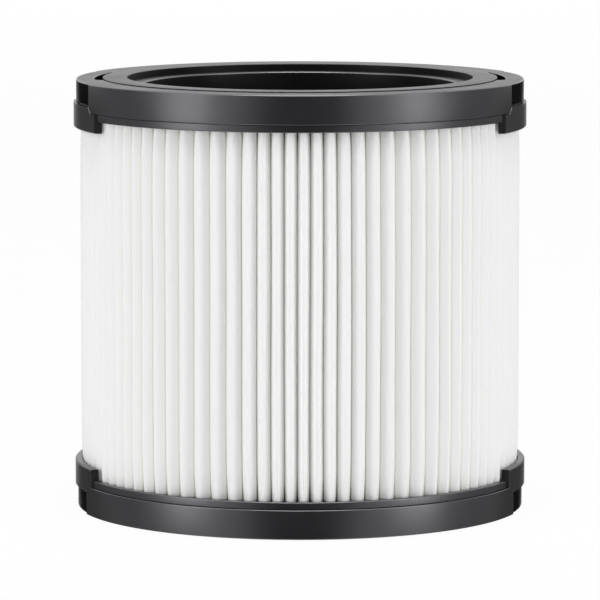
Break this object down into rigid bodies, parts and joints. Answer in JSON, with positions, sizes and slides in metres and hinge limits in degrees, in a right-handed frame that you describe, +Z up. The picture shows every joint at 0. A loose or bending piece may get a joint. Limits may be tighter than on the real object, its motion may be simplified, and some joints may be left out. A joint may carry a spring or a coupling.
{
  "type": "vacuum cleaner cartridge filter",
  "caption": "Open cylindrical cartridge filter: a tube of pleated white media between two dark plastic end caps with side clips and flat seal rings.",
  "frame": {"origin": "on the axis, in the plane of the lower seal ring's face, on which the filter stands", "axes": "+Z up along the axis, X through the two clips, Y from front to back"},
  "size_m": [0.1548, 0.1546, 0.1476],
  "materials": {
    "cap_plastic": "satin",
    "clip_plastic": "satin",
    "seal_plastic": "matte",
    "potting_resin": "matte",
    "core_plastic": "matte",
    "filter_media": "matte"
  },
  "bodies": {
    "root": {"upper_end_cap": "cap_plastic", "lower_end_cap": "cap_plastic", "upper_clip_ring": "clip_plastic", "lower_clip_ring": "clip_plastic", "upper_seal_ring": "seal_plastic", "lower_seal_ring": "seal_plastic", "upper_potting": "potting_resin", "lower_potting": "potting_resin", "pleated_media": "filter_media", "support_core": "core_plastic"}
  },
  "joints": []
}
